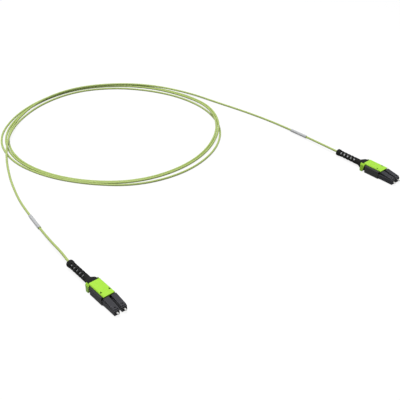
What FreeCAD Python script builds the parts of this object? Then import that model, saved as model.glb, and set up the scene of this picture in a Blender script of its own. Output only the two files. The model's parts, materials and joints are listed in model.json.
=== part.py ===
"""A duplex fibre patch cord: two push-pull connectors joined by a thin round cable.

Millimetres, +Z up, +X the way both connectors point. The floor is z = 0, and the origin is the
middle of the floor under the box round the two connectors.
"""
import FreeCAD, Part
import math
import os
import types
import Sketcher

# Driving dimensions. Lengths along a connector are measured back from the front face of its noses.
SIZES = {
    # Places of the two nose fronts
    "near_x": 21.28,
    "near_y": -140.76,
    "far_x": 42.92,
    "far_y": 140.76,
    # Plug frames
    "ferrule_pitch": 6.25,
    "nose_side": 4.5,
    "optic_height": 2.81,
    "nose_back": 13.9,
    "frame_back": 17.6,
    "frame_rear_top": 1.7,
    "rear_overlap": 0.5,
    "waist_front": 16.2,
    "waist_back": 17.2,
    "waist_width": 3.7,
    "mouth_radius": 1.45,
    "mouth_depth": 4.5,
    "web_reach": 0.95,
    "web_back": 5.3,
    "barrel_reach": 1.55,
    "nose_chamfer": 0.3,
    # Latch arms, heights from the optical axis
    "blade_width": 4.1,
    "tail_width": 2.6,
    "latch_front": 0.9,
    "latch_back": 14,
    "latch_low_front": 2.31,
    "latch_low_back": 3.6,
    "latch_top_front": 2.89,
    "latch_top_back": 5.14,
    "latch_top_end": 12.7,
    "valley_front": 14.7,
    "valley_back": 16.4,
    "valley_height": 3.79,
    "hump_front": 18.9,
    "hump_height": 5.14,
    "tail_back": 19.4,
    "tail_low": 3.19,
    "catch_front": 2.8,
    "catch_back": 4.9,
    "catch_width": 2.2,
    "catch_height": 3.66,
    "dimple_front": 1.5,
    "dimple_back": 2.6,
    "dimple_width": 1.6,
    "dimple_floor": 2.65,
    # Ferrules, flanges, springs and pushers
    "ferrule_radius": 0.625,
    "ferrule_reach": 2,
    "ferrule_bevel": 0.2,
    "ferrule_seat": 4.3,
    "shank_reach": 0.55,
    "shank_back": 6.8,
    "flange_front": 5.4,
    "flange_back": 7.4,
    "flange_reach": 1.35,
    "flange_tail_reach": 0.62,
    "flange_tail_back": 12.5,
    "flange_bore": 0.35,
    "press_play": 0.01,
    "spring_front": 7.6,
    "spring_back": 13.4,
    "spring_radius": 0.92,
    "spring_wire": 0.3,
    "spring_turns": 4,
    "pusher_front": 13.45,
    "pusher_reach": 1.52,
    "pusher_bore": 0.9,
    "pusher_head_front": 17.65,
    "pusher_head_back": 18.4,
    "pusher_head_side": 3.6,
    # Housing
    "body_width": 11.67,
    "body_front": 15.2,
    "body_back": 30,
    "split_height": 3.9,
    "body_top": 7.75,
    "body_chamfer": 1.2,
    "sole_chamfer": 0.35,
    "socket_width": 4.64,
    "socket_floor": 0.41,
    "socket_roof": 5.2,
    "rib_front": 16.3,
    "rib_back": 17.1,
    "rib_gap": 3.84,
    "cavity_front": 18.5,
    "cavity_back": 28.25,
    "cavity_width": 8.8,
    "cavity_floor": 1,
    "cavity_roof": 6.3,
    "notch_back": 19.8,
    "notch_width": 3.3,
    "keel_slot_width": 2.4,
    "keel_slot_floor": 6.7,
    "post_hole": 1.45,
    # Crimp
    "post_head_front": 27.3,
    "post_head_back": 28.2,
    "post_head_side": 3.5,
    "post_radius": 1.35,
    "post_back": 38,
    "post_bore": 0.98,
    "sleeve_front": 30.6,
    "sleeve_step": 38.5,
    "sleeve_back": 41,
    "sleeve_outer": 2.1,
    "sleeve_neck": 1.6,
    "sleeve_play": 0.03,
    "post_room": 1.6,
    # Slide cover
    "cover_front": 13.1,
    "cover_back": 32.2,
    "cover_width": 9.68,
    "cover_top": 8.86,
    "cover_thick": 0.75,
    "cover_corner": 0.4,
    "cover_bevel": 0.55,
    "cheek_front": 31,
    "cheek_sweep": 1.5,
    "cheek_back": 35.3,
    "cheek_shoulder": 6.4,
    "cheek_top": 7.3,
    "cheek_inner": 9.3,
    "cheek_sole": 0.1,
    "cheek_floor": 0.7,
    "pip_place": 18.4,
    "pip_spread": 3.55,
    "pip_length": 1.7,
    "pip_width": 1.7,
    "pip_tip_width": 0.68,
    "cam_front": 15.2,
    "cam_back": 16.3,
    "cam_width": 2,
    "cam_low": 6.75,
    "keel_front": 20,
    "keel_width": 1.8,
    "keel_low": 7,
    # Boot, heights from the cable's axis
    "cable_height": 3.9,
    "boot_front": 30.4,
    "block_back": 34.6,
    "block_width": 9.2,
    "block_low": -3.15,
    "block_top": 4.1,
    "block_chamfer": 0.4,
    "haunch_back": 36.6,
    "haunch_width": 8,
    "neck_back": 39,
    "neck_width": 4,
    "shaft_radius": 2.8,
    "bead_front": 63.4,
    "bead_radius": 3.15,
    "bead_chamfer": 0.7,
    "boot_back": 66.2,
    "crimp_room": 2.4,
    "crimp_room_back": 41.5,
    "core_side": 2.9,
    "core_back": 63.6,
    "boot_bore": 1.6,
    "window_first": 45.7,
    "window_pitch": 3.83,
    "window_count": 5,
    "window_length": 2.1,
    "window_height": 3,
    "window_slant": -45,
    # Cable
    "cable_radius": 1,
    "cable_start": 52,
    "jacket_start": 38.6,
    "loop_x": -227.43,
    "loop_y": 148.96,
    "loop_start": 241.4,
    "loop_step": 24,
    "fibre_radius": 0.4,
    "fibre_front": 14,
    "fan_front": 19.6,
    "fan_back": 25.6,
    "fibre_back": 32,
    "fibre_spread": 0.45,
    "inner_front": 41.6,
    "inner_back": 62.6,
    "inner_radius": 1.4,
    "inner_bore": 1.2,
    "marker_length": 21,
    "marker_outer": 1.45,
    "marker_inner": 1.2,
}
CORD_SIDES = 5
SLEEVE_SIDES = 12
ROUND_SIDES = 16
SPRING_STEPS = 6
BEND_SHARE = 0.45
HEXAGON_RISE = 0.866025
ENDS = ("near", "far")
SIDES = {"left": 1, "right": -1}

# The cable's route, measured from the front of the near connector's noses.
NEAR_LEAD = [
    (-52, 0, 3.9),
    (-67, 0, 3.9),
    (-80, 1.9, 4.1),
    (-98, 3.1, 3.6),
    (-117, 5.7, 1.8),
    (-147, 9.7, 1.5),
    (-169, 13.4, 1),
    (-191, 19.3, 1),
    (-211.7, 25.9, 1),
    (-240.7, 37.9, 4.4),
]
FAR_LEAD = [
    (-240.7, 261.1, 2.4),
    (-204.7, 270.1, 1),
    (-166.7, 278.3, 1),
    (-125.8, 283.9, 1),
    (-66.36, 281.52, 3.9),
    (-30.36, 281.52, 3.9),
]
# Radius of the loop at each step round it, one row for each turn
TURN_RADII = [
    [100.3, 98.3, 99, 100, 97.5, 95, 97.3, 103, 109, 112, 113.3, 112, 106.4, 106, 108],
    [110, 107.5, 107.5, 109, 106.5, 105.5, 106.3, 107.5, 107.5, 106, 106, 106.3, 104.1, 103.4, 104.3],
    [105.5, 104.2, 105, 106.6, 104.1, 103, 103.5, 105, 105, 103.5, 103.5, 103.9, 101.8, 101, 101.9],
    [102.9, 101.8, 103.5, 105.8, 104, 105.5],
]
# Height of the cable where it passes over another turn, by turn and step
TURN_HUMPS = {
    (0, 0): 4.4,
    (1, 7): 4.4,
    (1, 8): 4.4,
    (2, 7): 4.4,
    (2, 8): 4.4,
    (3, 2): 3.3,
    (3, 3): 3.5,
    (3, 4): 3.5,
    (3, 5): 3.5,
}

doc = FreeCAD.newDocument("patch_cord")
pieces = []


class Size:
    """A number with the expression that ties it to the sheet; sums and products keep both."""

    def __init__(self, number, words):
        self.number = number
        self.words = words

    def __neg__(self):
        return Size(-self.number, f"-({self.words})")

    def __add__(self, other):
        other = as_size(other)
        return Size(self.number + other.number, f"({self.words} + {other.words})")

    def __sub__(self, other):
        return self + -as_size(other)

    def __mul__(self, other):
        other = as_size(other)
        return Size(self.number * other.number, f"({self.words}) * ({other.words})")

    def __rmul__(self, other):
        return self * other

    def __truediv__(self, other):
        other = as_size(other)
        return Size(self.number / other.number, f"({self.words}) / ({other.words})")


def as_size(value):
    return value if isinstance(value, Size) else Size(value, str(value))


def number(value):
    """The present value of a size."""
    return float(as_size(value).number)


def tie(item, field, value):
    """Binds one property of an object to a size."""
    item.setExpression(field, as_size(value).words)


def make_sheet():
    """The sheet of driving dimensions, one named cell each, and the sizes tied to its cells."""
    sheet = doc.addObject("Spreadsheet::Sheet", "Sizes")
    for row, (name, value) in enumerate(SIZES.items(), start=1):
        sheet.set(f"A{row}", name)
        sheet.set(f"B{row}", str(value))
        sheet.setAlias(f"B{row}", name)
    doc.recompute()
    return types.SimpleNamespace(**{name: Size(value, f"Sizes.{name}") for name, value in SIZES.items()})


d = make_sheet()
NOSES = {"near": (d.near_x, d.near_y), "far": (d.far_x, d.far_y)}


def new_body(label, end, side=None, height=0):
    """An empty body whose x = 0 is the nose front, on the connector's mid-plane or on one plug's axis."""
    body = doc.addObject("PartDesign::Body", label)
    body.Label = label
    x, y = NOSES[end]
    if side:
        y = y + SIDES[side] / 2 * d.ferrule_pitch
    tie(body, "Placement.Base.x", x)
    tie(body, "Placement.Base.y", y)
    tie(body, "Placement.Base.z", height)
    pieces.append(body)
    return body


def new_plug_body(name, end, side):
    """A body on the optical axis of one plug."""
    return new_body(f"{end}_{side}_{name}", end, side, d.optic_height)


def origin_plane(body, role):
    return next(plane for plane in body.Origin.OriginFeatures if plane.Role == f"{role}_Plane")


def pin_corner(sketch, line, kind, place, axis):
    """Holds a line's first point at a size's distance along one direction."""
    if place == 0:
        sketch.addConstraint(Sketcher.Constraint("PointOnObject", line, 1, axis))
        return
    index = sketch.addConstraint(Sketcher.Constraint(kind, -1, 1, line, 1, number(place)))
    tie(sketch, f"Constraints[{index}]", place)


def outline(body, role, *loops, lift=0):
    """A sketch of closed straight-sided loops; each corner is a pair of sizes."""
    sketch = body.newObject("Sketcher::SketchObject", f"{body.Name}_outline")
    sketch.AttachmentSupport = [(origin_plane(body, role), "")]
    sketch.MapMode = "FlatFace"
    tie(sketch, "AttachmentOffset.Base.z", lift)
    for corners in loops:
        places = [FreeCAD.Vector(number(u), number(v), 0) for u, v in corners]
        first = sketch.GeometryCount
        count = len(places)
        for i, place in enumerate(places):
            sketch.addGeometry(Part.LineSegment(place, places[(i + 1) % count]), False)
        for i, (u, v) in enumerate(corners):
            after = first + (i + 1) % count
            sketch.addConstraint(Sketcher.Constraint("Coincident", first + i, 2, after, 1))
            pin_corner(sketch, first + i, "DistanceX", u, -2)
            pin_corner(sketch, first + i, "DistanceY", v, -1)
    return sketch


def rectangle(low_u, high_u, low_v, high_v):
    return [(low_u, low_v), (high_u, low_v), (high_u, high_v), (low_u, high_v)]


def hexagon(reach):
    """Six corners round the body's axis, two of them level with it."""
    half, high = reach / 2, reach * HEXAGON_RISE
    return [(reach, 0), (half, high), (-half, high), (-reach, 0), (-half, -high), (half, -high)]


def near_circle(reach):
    """Corners of a regular outline close to a circle round the body's axis, with a flat side on top."""
    angles = [2 * math.pi * (step + 0.5) / ROUND_SIDES for step in range(ROUND_SIDES)]
    return [(reach * math.cos(angle), reach * math.sin(angle)) for angle in angles]


def square(side):
    return rectangle(-side / 2, side / 2, -side / 2, side / 2)


def extrude(body, kind, sketch, length, reverse=False, centred=False):
    """A pad or pocket of a sketch, with its length tied to a size."""
    feature = body.newObject(f"PartDesign::{kind}", f"{body.Name}_{kind.lower()}")
    feature.Profile = sketch
    feature.Reversed = reverse
    if centred:
        feature.SideType = "Symmetric"
    tie(feature, "Length", length)
    return feature


def pad(body, sketch, length, **options):
    return extrude(body, "Pad", sketch, length, **options)


def pocket(body, sketch, length, **options):
    return extrude(body, "Pocket", sketch, length, **options)


def turn(body, kind, *loops):
    """A revolution or groove of half-sections in the XZ plane about the body's X axis."""
    sketch = outline(body, "XZ", *loops)
    feature = body.newObject(f"PartDesign::{kind}", f"{body.Name}_{kind.lower()}")
    feature.Profile = sketch
    feature.ReferenceAxis = (sketch, ["H_Axis"])
    feature.Angle = 360
    return feature


def dress(body, kind, reach, wanted):
    """A fillet or chamfer on the edges of the body's last feature that a test picks out."""
    doc.recompute()
    base = body.Tip
    names = [f"Edge{i}" for i, edge in enumerate(base.Shape.Edges, start=1) if wanted(edge)]
    feature = body.newObject(f"PartDesign::{kind}", f"{body.Name}_{kind.lower()}")
    feature.Base = (base, names)
    tie(feature, "Radius" if kind == "Fillet" else "Size", reach)
    return feature


def runs_along(edge, axis):
    """True for a straight edge along one axis, 0 for X to 2 for Z."""
    if not isinstance(edge.Curve, Part.Line):
        return False
    return abs(edge.Curve.Direction[axis]) > 0.999


def all_at(edge, axis, place):
    """True for an edge whose ends lie on one plane across an axis."""
    return all(abs(vertex.Point[axis] - place) < 1e-4 for vertex in edge.Vertexes)


def plug_frame(end, side):
    """Square nose with a round mouth and a six-sided barrel, and a lower rear with a waist that the housing grips."""
    body = new_plug_body("plug_frame", end, side)
    half = d.nose_side / 2
    pad(body, outline(body, "YZ", square(d.nose_side)), d.nose_back, reverse=True)
    dress(body, "Chamfer", d.nose_chamfer, lambda edge: all_at(edge, 0, 0) or runs_along(edge, 0))
    waist = d.waist_width / 2
    right_side = [
        (-d.nose_back + d.rear_overlap, half),
        (-d.waist_front, half),
        (-d.waist_front, waist),
        (-d.waist_back, waist),
        (-d.waist_back, half),
        (-d.frame_back, half),
    ]
    left_side = [(along, -across) for along, across in reversed(right_side)]
    rear = outline(body, "XY", right_side + left_side, lift=-half)
    pad(body, rear, d.frame_rear_top + half)
    turn(body, "Groove", rectangle(-d.mouth_depth, 0, 0, d.mouth_radius))
    web = outline(body, "YZ", hexagon(d.web_reach), lift=-d.mouth_depth)
    pocket(body, web, d.web_back - d.mouth_depth)
    barrel = outline(body, "YZ", hexagon(d.barrel_reach), lift=-d.web_back)
    pocket(body, barrel, d.frame_back - d.web_back)


def latch_arm(end, side):
    """Wide arm that rises from the nose front, with a dimple and a level catch on top, and a narrow cammed tail
    under the slide cover."""
    body = new_plug_body("latch_arm", end, side)
    blade = [
        (-d.latch_front, d.latch_low_front),
        (-d.latch_front, d.latch_top_front),
        (-d.latch_top_end, d.latch_top_back),
        (-d.latch_back, d.latch_low_back),
    ]
    tail = [
        (-d.valley_front, d.valley_height),
        (-d.valley_back, d.valley_height),
        (-d.hump_front, d.hump_height),
        (-d.tail_back, d.hump_height),
        (-d.tail_back, d.tail_low),
        (-d.valley_front, d.tail_low),
    ]
    pad(body, outline(body, "XZ", blade[:3] + tail + blade[3:]), d.tail_width, centred=True)
    pad(body, outline(body, "XZ", blade), d.blade_width, centred=True)
    catch = rectangle(-d.catch_back, -d.catch_front, d.dimple_floor, d.catch_height)
    pad(body, outline(body, "XZ", catch), d.catch_width, centred=True)
    dimple = rectangle(-d.dimple_back, -d.dimple_front, d.dimple_floor, d.hump_height)
    pocket(body, outline(body, "XZ", dimple), d.dimple_width, centred=True)


def ferrule(end, side):
    """Ceramic rod with a bevelled tip, on a six-sided shank that the flange holds."""
    body = new_plug_body("ferrule", end, side)
    half_section = [
        (d.ferrule_reach, 0),
        (d.ferrule_reach, d.ferrule_radius - d.ferrule_bevel),
        (d.ferrule_reach - d.ferrule_bevel, d.ferrule_radius),
        (-d.ferrule_seat, d.ferrule_radius),
        (-d.ferrule_seat, 0),
    ]
    turn(body, "Revolution", half_section)
    shank = outline(body, "YZ", hexagon(d.shank_reach), lift=-d.ferrule_seat)
    pad(body, shank, d.shank_back - d.ferrule_seat, reverse=True)


def ferrule_flange(end, side):
    """Six-sided metal collar that keys into the barrel, with a tail tube that guides the spring."""
    body = new_plug_body("ferrule_flange", end, side)
    collar = outline(body, "YZ", hexagon(d.flange_reach), lift=-d.flange_front)
    pad(body, collar, d.flange_back - d.flange_front, reverse=True)
    tail = outline(body, "YZ", hexagon(d.flange_tail_reach), lift=-d.flange_back)
    pad(body, tail, d.flange_tail_back - d.flange_back, reverse=True)
    seat = outline(body, "YZ", hexagon(d.shank_reach + d.press_play), lift=-d.flange_front)
    pocket(body, seat, d.shank_back + d.press_play - d.flange_front)
    bore = outline(body, "YZ", hexagon(d.flange_bore), lift=-d.shank_back)
    pocket(body, bore, d.flange_tail_back - d.shank_back)


def ferrule_spring(end, side):
    """Coil spring of square wire between the flange and the pusher, in short straight steps."""
    label = f"{end}_{side}_ferrule_spring"
    home = nose_place(end)
    home += FreeCAD.Vector(0, SIDES[side] * number(d.ferrule_pitch) / 2, number(d.optic_height))
    half_wire = number(d.spring_wire) / 2
    front = number(d.spring_front)
    back = number(d.spring_back) - half_wire
    count = int(number(d.spring_turns) * SPRING_STEPS)
    radius = number(d.spring_radius)
    points = []
    for step in range(count + 1):
        angle = 2 * math.pi * step / SPRING_STEPS
        along = front + (back - front) * step / count
        points.append(home + FreeCAD.Vector(-along, radius * math.cos(angle), radius * math.sin(angle)))
    edges = [Part.LineSegment(*ends).toShape() for ends in zip(points, points[1:])]
    sweep(label, edges, 0, 4, d.spring_wire / math.sqrt(2), FreeCAD.Vector(1, 0, 1), "Right corner")


def spring_pusher(end, side):
    """Six-sided tube with a square head, pressed into the back of the plug frame."""
    body = new_plug_body("spring_pusher", end, side)
    tube = outline(body, "YZ", hexagon(d.pusher_reach), lift=-d.pusher_front)
    pad(body, tube, d.pusher_head_front - d.pusher_front, reverse=True)
    head = outline(body, "YZ", square(d.pusher_head_side), lift=-d.pusher_head_front)
    pad(body, head, d.pusher_head_back - d.pusher_head_front, reverse=True)
    bore = outline(body, "YZ", hexagon(d.pusher_bore), lift=-d.pusher_front)
    pocket(body, bore, d.pusher_head_back - d.pusher_front)


def socket_loops():
    """Plan of the two plug sockets, each with a pair of ribs that hold the frame's waist."""
    loops = []
    for sign in SIDES.values():
        middle = sign / 2 * d.ferrule_pitch
        wide, narrow = d.socket_width / 2, d.rib_gap / 2
        edge = [
            (-d.body_front, wide),
            (-d.rib_front, wide),
            (-d.rib_front, narrow),
            (-d.rib_back, narrow),
            (-d.rib_back, wide),
            (-d.cavity_front, wide),
        ]
        upper = [(along, middle + across) for along, across in edge]
        lower = [(along, middle - across) for along, across in reversed(edge)]
        loops.append(upper + lower)
    return loops


def cavity_loop():
    """Plan of the room where the two fibres fan out."""
    return rectangle(-d.cavity_back, -d.cavity_front, -d.cavity_width / 2, d.cavity_width / 2)


def post_hole(body):
    """Hole for the crimp post through the back wall, shared by both halves of the housing."""
    sketch = body.newObject("Sketcher::SketchObject", f"{body.Name}_hole")
    sketch.AttachmentSupport = [(origin_plane(body, "YZ"), "")]
    sketch.MapMode = "FlatFace"
    tie(sketch, "AttachmentOffset.Base.z", -d.body_back)
    middle = FreeCAD.Vector(0, number(d.split_height), 0)
    sketch.addGeometry(Part.Circle(middle, FreeCAD.Vector(0, 0, 1), number(d.post_hole)), False)
    sketch.addConstraint(Sketcher.Constraint("PointOnObject", 0, 3, -2))
    height = sketch.addConstraint(Sketcher.Constraint("DistanceY", -1, 1, 0, 3, middle.y))
    tie(sketch, f"Constraints[{height}]", d.split_height)
    radius = sketch.addConstraint(Sketcher.Constraint("Radius", 0, number(d.post_hole)))
    tie(sketch, f"Constraints[{radius}]", d.post_hole)
    pocket(body, sketch, d.body_back - d.cavity_back, reverse=True)


def body_base(end):
    """Lower half of the housing: sockets for the plugs and a room for the fibres, open at the top."""
    body = new_body(f"{end}_body_base", end)
    half = d.body_width / 2
    section = [
        (-half + d.sole_chamfer, 0),
        (half - d.sole_chamfer, 0),
        (half, d.sole_chamfer),
        (half, d.split_height),
        (-half, d.split_height),
        (-half, d.sole_chamfer),
    ]
    shell = outline(body, "YZ", section, lift=-d.body_front)
    pad(body, shell, d.body_back - d.body_front, reverse=True)
    sockets = outline(body, "XY", *socket_loops(), lift=d.split_height)
    pocket(body, sockets, d.split_height - d.socket_floor)
    room = outline(body, "XY", cavity_loop(), lift=d.split_height)
    pocket(body, room, d.split_height - d.cavity_floor)
    post_hole(body)


def body_lid(end):
    """Upper half of the housing, notched for the latch tails and slotted for the cover's keel."""
    body = new_body(f"{end}_body_lid", end)
    half = d.body_width / 2
    section = [
        (-half, d.split_height),
        (half, d.split_height),
        (half, d.body_top - d.body_chamfer),
        (half - d.body_chamfer, d.body_top),
        (-half + d.body_chamfer, d.body_top),
        (-half, d.body_top - d.body_chamfer),
    ]
    shell = outline(body, "YZ", section, lift=-d.body_front)
    pad(body, shell, d.body_back - d.body_front, reverse=True)
    sockets = outline(body, "XY", *socket_loops(), lift=d.split_height)
    pocket(body, sockets, d.socket_roof - d.split_height, reverse=True)
    room = outline(body, "XY", cavity_loop(), lift=d.split_height)
    pocket(body, room, d.cavity_roof - d.split_height, reverse=True)
    notches = []
    for sign in SIDES.values():
        middle = sign / 2 * d.ferrule_pitch
        low, high = middle - d.notch_width / 2, middle + d.notch_width / 2
        notches.append(rectangle(-d.notch_back, -d.body_front, low, high))
    pocket(body, outline(body, "XY", *notches, lift=d.body_top), d.body_top - d.split_height)
    slot = rectangle(-d.body_back, -d.notch_back, -d.keel_slot_width / 2, d.keel_slot_width / 2)
    pocket(body, outline(body, "XY", slot, lift=d.body_top), d.body_top - d.keel_slot_floor)
    post_hole(body)


def crimp_post(end):
    """Tube with a square head inside the housing, that the cable's strength yarn is crimped on."""
    body = new_body(f"{end}_crimp_post", end, height=d.cable_height)
    head = outline(body, "YZ", square(d.post_head_side), lift=-d.post_head_front)
    pad(body, head, d.post_head_back - d.post_head_front, reverse=True)
    turn(body, "Revolution", rectangle(-d.post_back, -d.post_head_back, 0, d.post_radius))
    bore = outline(body, "YZ", hexagon(d.post_bore), lift=-d.post_head_front)
    pocket(body, bore, d.post_back - d.post_head_front)


def crimp_sleeve(end):
    """Metal sleeve pressed to six sides, with a thinner neck that grips the cable's jacket."""
    body = new_body(f"{end}_crimp_sleeve", end, height=d.cable_height)
    wide = outline(body, "YZ", hexagon(d.sleeve_outer), lift=-d.sleeve_front)
    pad(body, wide, d.sleeve_step - d.sleeve_front, reverse=True)
    neck = outline(body, "YZ", hexagon(d.sleeve_neck), lift=-d.sleeve_step)
    pad(body, neck, d.sleeve_back - d.sleeve_step, reverse=True)
    room_back = d.post_back + d.sleeve_play
    room = outline(body, "YZ", hexagon(d.post_room), lift=-d.sleeve_front)
    pocket(body, room, room_back - d.sleeve_front)
    grip_reach = (d.cable_radius + d.sleeve_play) / HEXAGON_RISE
    grip = outline(body, "YZ", hexagon(grip_reach), lift=-room_back)
    pocket(body, grip, d.sleeve_back - room_back)


def slide_cover(end):
    """Flat cover with cams and a keel underneath, and a collar of two cheeks round the boot's block."""
    body = new_body(f"{end}_slide_cover", end)
    half = d.cover_width / 2
    under = d.cover_top - d.cover_thick
    plate = [
        (-d.cover_front, half - d.cover_corner),
        (-d.cover_front - d.cover_corner, half),
        (-d.cover_back, half),
        (-d.cover_back, -half),
        (-d.cover_front - d.cover_corner, -half),
        (-d.cover_front, -half + d.cover_corner),
    ]
    pad(body, outline(body, "XY", plate, lift=under), d.cover_thick)
    crown = number(d.cover_top)
    dress(
        body, "Chamfer", d.cover_bevel,
        lambda edge: all_at(edge, 2, crown) and runs_along(edge, 0),
    )
    wide = d.body_width / 2
    collar = [
        (wide, d.cheek_sole),
        (wide, d.cheek_shoulder),
        (half - d.cover_bevel, d.cover_top),
        (-half + d.cover_bevel, d.cover_top),
        (-wide, d.cheek_shoulder),
        (-wide, d.cheek_sole),
    ]
    inside = rectangle(-d.cheek_inner / 2, d.cheek_inner / 2, d.cheek_floor, under)
    ring = outline(body, "YZ", collar, inside, lift=-d.cheek_front)
    pad(body, ring, d.cheek_back - d.cheek_front, reverse=True)
    swept = [
        (-d.cheek_front, d.cheek_shoulder),
        (-d.cheek_front, d.cheek_sole),
        (-d.cheek_front - d.cheek_sweep, d.cheek_sole),
    ]
    pocket(body, outline(body, "XZ", swept), d.body_width, centred=True)
    saddle = rectangle(-d.cheek_back, -d.cover_back, -wide, wide)
    pocket(body, outline(body, "XY", saddle, lift=d.cover_top), d.cover_top - d.cheek_top)
    cams = []
    pips = []
    for sign in SIDES.values():
        middle = sign / 2 * d.ferrule_pitch
        low, high = middle - d.cam_width / 2, middle + d.cam_width / 2
        cams.append(rectangle(-d.cam_back, -d.cam_front, low, high))
        spread = sign * d.pip_spread
        pips.append([
            (-d.pip_place + d.pip_length / 2, spread - d.pip_width / 2),
            (-d.pip_place + d.pip_length / 2, spread + d.pip_width / 2),
            (-d.pip_place - d.pip_length / 2, spread + d.pip_tip_width / 2),
            (-d.pip_place - d.pip_length / 2, spread - d.pip_tip_width / 2),
        ])
    pad(body, outline(body, "XY", *cams, lift=d.cam_low), under - d.cam_low)
    keel = rectangle(-d.body_back, -d.keel_front, -d.keel_width / 2, d.keel_width / 2)
    pad(body, outline(body, "XY", keel, lift=d.keel_low), under - d.keel_low)
    pocket(body, outline(body, "XY", *pips, lift=d.cover_top), d.cover_top - d.body_top)


def boot(end):
    """Strain relief: a block between the cheeks that narrows to a round shaft with a bead at its end."""
    body = new_body(f"{end}_boot", end, height=d.cable_height)
    wide = d.block_width / 2
    flank = [
        (-d.boot_front, wide),
        (-d.block_back, wide),
        (-d.haunch_back, d.haunch_width / 2),
        (-d.neck_back, d.neck_width / 2),
    ]
    plan = flank + [(along, -across) for along, across in reversed(flank)]
    pad(body, outline(body, "XY", plan, lift=d.block_low), d.block_top - d.block_low)
    crown = number(d.block_top)
    dress(
        body, "Chamfer", d.block_chamfer,
        lambda edge: all_at(edge, 2, crown) and not runs_along(edge, 1),
    )
    shaft = outline(body, "YZ", near_circle(d.shaft_radius), lift=-d.block_back)
    pad(body, shaft, d.bead_front - d.block_back, reverse=True)
    bead = outline(body, "YZ", near_circle(d.bead_radius), lift=-d.bead_front)
    pad(body, bead, d.boot_back - d.bead_front, reverse=True)
    end_plane = -number(d.boot_back)
    dress(body, "Chamfer", d.bead_chamfer, lambda edge: all_at(edge, 0, end_plane))
    room = outline(body, "YZ", hexagon(d.crimp_room), lift=-d.boot_front)
    pocket(body, room, d.crimp_room_back - d.boot_front)
    bore = outline(body, "YZ", near_circle(d.boot_bore), lift=-d.boot_back)
    pocket(body, bore, d.boot_back - d.core_back, reverse=True)
    core = outline(body, "YZ", square(d.core_side), lift=-d.core_back)
    pocket(body, core, d.core_back - d.crimp_room_back, reverse=True)
    window_row(body, d.window_slant, d.window_first, d.window_count)
    window_row(body, -d.window_slant, d.window_first + d.window_pitch / 2, d.window_count - 1)


def window_row(body, slant, first, count):
    """Equal windows through the shaft, one behind the other, turned about its axis."""
    half_length, half_height = d.window_length / 2, d.window_height / 2
    window = rectangle(-first - half_length, -first + half_length, -half_height, half_height)
    sketch = outline(body, "XZ", window)
    turned = FreeCAD.Rotation(FreeCAD.Vector(1, 0, 0), number(slant))
    sketch.AttachmentOffset = FreeCAD.Placement(FreeCAD.Vector(), turned)
    cut = pocket(body, sketch, d.block_width, centred=True)
    row = body.newObject("PartDesign::LinearPattern", f"{body.Name}_windows")
    row.Originals = [cut]
    row.Direction = (origin_axis(body, "X"), [""])
    row.Reversed = True
    tie(row, "Length", (count - 1) * d.window_pitch)
    tie(row, "Occurrences", count)
    body.Tip = row


def origin_axis(body, role):
    return next(axis for axis in body.Origin.OriginFeatures if axis.Role == f"{role}_Axis")


def nose_place(end):
    """The point of the floor under the middle of a connector's nose fronts."""
    x, y = NOSES[end]
    return FreeCAD.Vector(number(x), number(y), 0)


def bend_radius(before, corner, after):
    """Radius and tangent length of the arc that rounds a corner of a route."""
    run_in, run_out = corner - before, after - corner
    half_turn = run_in.getAngle(run_out) / 2
    tangent = BEND_SHARE * min(run_in.Length, run_out.Length)
    return tangent / math.tan(half_turn), tangent


def route_edges(points):
    """Straight runs joined by tangent arcs along a route, as one list of edges for each run and arc."""
    edges = []
    start = points[0]
    for before, corner, after in zip(points, points[1:], points[2:]):
        radius, tangent = bend_radius(before, corner, after)
        inward = (before - corner).normalize()
        outward = (after - corner).normalize()
        arc_start = corner + inward * tangent
        arc_end = corner + outward * tangent
        to_centre = (inward + outward).normalize()
        sagitta_reach = math.hypot(radius, tangent) - radius
        edges.append(Part.LineSegment(start, arc_start).toShape())
        edges.append(Part.Arc(arc_start, corner + to_centre * sagitta_reach, arc_end).toShape())
        start = arc_end
    edges.append(Part.LineSegment(start, points[-1]).toShape())
    return edges


def sweep(label, edges, start, sides, radius, up, corners):
    """A regular polygon carried along joined edges both ways from one of them, with a corner upward there."""
    wire = Part.Wire(edges)
    spine = doc.addObject("Part::Feature", f"{label}_route")
    spine.Shape = wire
    section = doc.addObject("Part::RegularPolygon", f"{label}_section")
    section.Polygon = sides
    tie(section, "Circumradius", radius)
    place, after = edges[start].Vertexes[0].Point, edges[start].Vertexes[1].Point
    turned = FreeCAD.Rotation(up, FreeCAD.Vector(), after - place, "ZXY")
    section.Placement = FreeCAD.Placement(place, turned)
    piece = doc.addObject("Part::Sweep", label)
    piece.Label = label
    piece.Sections = [section]
    piece.Spine = (spine, [f"Edge{i}" for i in range(1, len(wire.Edges) + 1)])
    piece.Solid = True
    piece.Frenet = False
    piece.Transition = corners
    pieces.append(piece)
    doc.recompute()
    area = sides / 2 * number(radius) ** 2 * math.sin(2 * math.pi / sides)
    share = piece.Shape.Volume / (area * wire.Length)
    print(f"{label}: {wire.Length:.0f} mm long, volume {share:.4f} of section times length")


def cord(label, points, radius, sides=CORD_SIDES):
    """A plain straight-sided cord along a route, with a flat side down where the route is level."""
    edges = route_edges(points)
    level = next((i for i, edge in enumerate(edges) if i % 2 == 0 and edge.BoundBox.ZLength < 1e-6), 0)
    sweep(label, edges, level, sides, radius, FreeCAD.Vector(0, 0, 1), "Transformed")
    bends = [bend_radius(*corner)[0] for corner in zip(points, points[1:], points[2:])]
    if bends:
        print(f"    radii {min(bends):.0f} to {max(bends):.0f} mm")


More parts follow.
